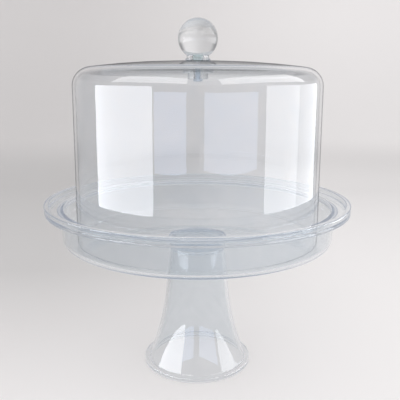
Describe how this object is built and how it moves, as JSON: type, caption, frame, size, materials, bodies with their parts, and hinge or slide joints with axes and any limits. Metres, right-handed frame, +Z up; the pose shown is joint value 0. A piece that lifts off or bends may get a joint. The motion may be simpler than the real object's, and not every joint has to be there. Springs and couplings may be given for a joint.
{
  "type": "cake stand with dome",
  "caption": "Clear footed cake stand: a round tray with an upright rim and a deep well on a hollow trumpet foot, under a tall lift-off dome with a ball knob.",
  "frame": {"origin": "middle of the underside of the pedestal's foot, on the surface that the stand rests on", "axes": "+Z up along the axis of the pedestal, tray and dome; the object is turned, so +X and +Y are free and -Y faces the camera"},
  "size_m": [0.305, 0.305, 0.3538],
  "materials": {
    "clear_pedestal": "clear moulded acrylic",
    "clear_tray": "clear moulded acrylic, faintly blue through its thick rim",
    "clear_dome": "clear moulded acrylic, thin wall",
    "clear_knob": "clear solid acrylic, polished",
    "insert_metal": "plain zinc plated",
    "screw_metal": "bright zinc plated steel",
    "clear_gasket": "clear soft vinyl",
    "clear_hardware": "clear turned acrylic"
  },
  "bodies": {
    "pedestal": {"pedestal": "clear_pedestal"},
    "tray": {"tray": "clear_tray"},
    "dome": {"dome": "clear_dome", "knob": "clear_knob", "knob_insert": "insert_metal", "knob_screw": "screw_metal", "knob_gasket": "clear_gasket", "top_washer": "clear_hardware", "screw_sleeve": "clear_hardware"}
  },
  "joints": [
    {"name": "tray_lift", "type": "slide", "parent": "pedestal", "child": "tray", "axis": [0, 0, 1], "range_m": [0, 0.04]},
    {"name": "dome_lift", "type": "slide", "parent": "tray", "child": "dome", "axis": [0, 0, 1], "range_m": [0, 0.2]}
  ]
}
